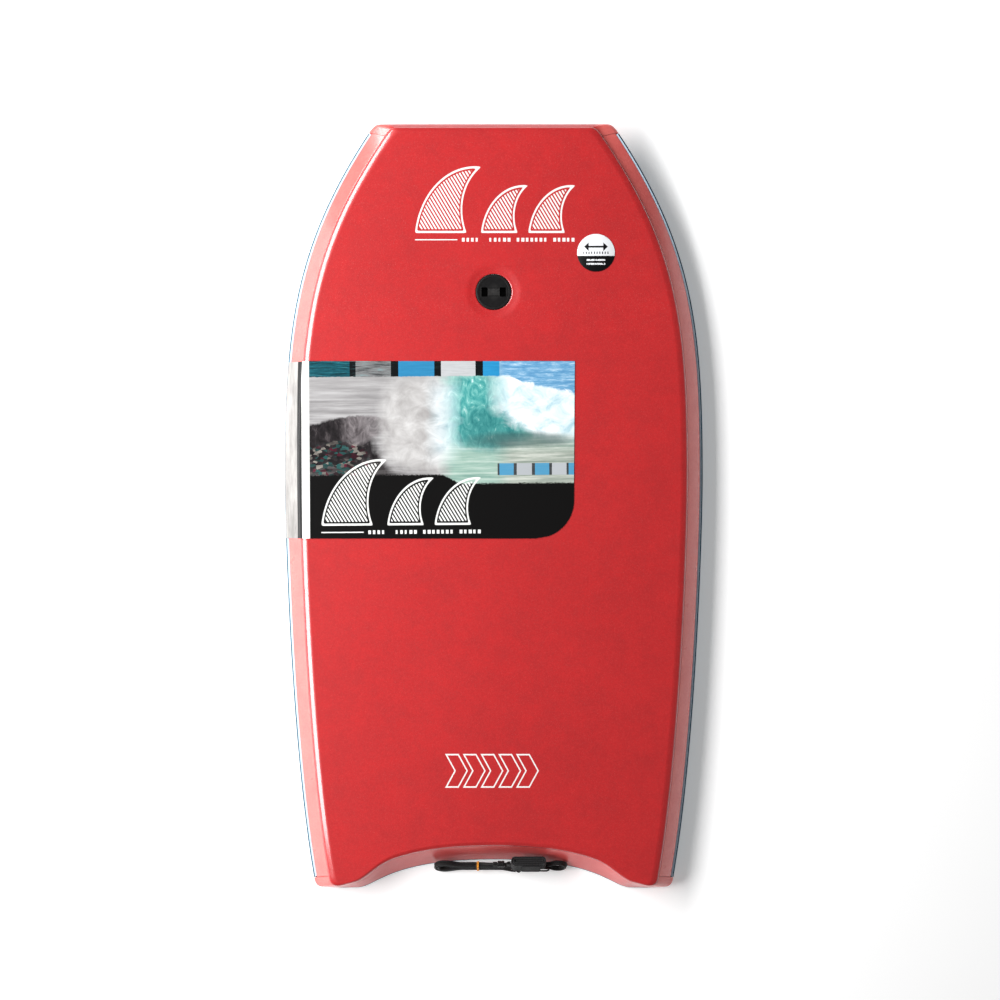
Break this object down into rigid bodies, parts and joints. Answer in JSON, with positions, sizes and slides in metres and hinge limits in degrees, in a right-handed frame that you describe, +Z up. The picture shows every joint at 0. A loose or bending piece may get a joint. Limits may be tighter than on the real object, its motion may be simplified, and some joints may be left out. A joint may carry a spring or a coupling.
{
  "type": "bodyboard",
  "caption": "Foam bodyboard with chined rails, crescent tail, slick bottom, deck leash plug and a tied leash bundle with wrist cuff and swivel.",
  "frame": {"origin": "middle of the board on its slick bottom, where it lies flat", "axes": "+Y towards the nose, +X to the rider's right, +Z up through the deck"},
  "size_m": [0.5006, 0.914, 0.0524],
  "materials": {
    "core_foam": "expanded bead foam",
    "deck_foam": "smooth closed-cell foam skin, satin",
    "stripe_foam": "thin foam pinline",
    "lower_rail_foam": "closed-cell foam",
    "slick": "slick polyethylene sheet",
    "plug_plastic": "moulded",
    "sticker_print": "printed vinyl",
    "label_print": "printed glossy film",
    "cord_nylon": "braided nylon",
    "webbing": "woven webbing",
    "swivel_plastic": "moulded nylon",
    "band_rubber": "natural rubber"
  },
  "bodies": {
    "board": {"foam_core": "core_foam", "deck_skin": "deck_foam", "slick_bottom": "slick", "rail_upper_left": "deck_foam", "rail_upper_right": "deck_foam", "rail_stripe_left": "stripe_foam", "rail_stripe_right": "stripe_foam", "rail_lower_left": "lower_rail_foam", "rail_lower_right": "lower_rail_foam", "nose_bumper": "deck_foam", "tail_bumper": "deck_foam", "plug_cap": "plug_plastic", "plug_base": "plug_plastic", "size_sticker": "sticker_print", "label_sleeve": "label_print"},
    "leash": {"leash_hank": "cord_nylon", "leash_cord": "cord_nylon", "swivel_barrel": "swivel_plastic", "cuff_tab": "webbing", "cuff_strap": "webbing", "cuff_hook_tab": "webbing", "plug_string": "cord_nylon", "string_knot": "cord_nylon", "rubber_band": "band_rubber"},
    "swivel": {"swivel_rotor": "swivel_plastic"}
  },
  "joints": [
    {"name": "leash_lift", "type": "slide", "parent": "board", "child": "leash", "axis": [0, 0, 1], "range_m": [0, 0.15]},
    {"name": "swivel_spin", "type": "hinge", "parent": "leash", "child": "swivel", "pos_m": [0.003, -0.42385, 0.02547], "axis": [1, 0, 0], "continuous": true}
  ]
}
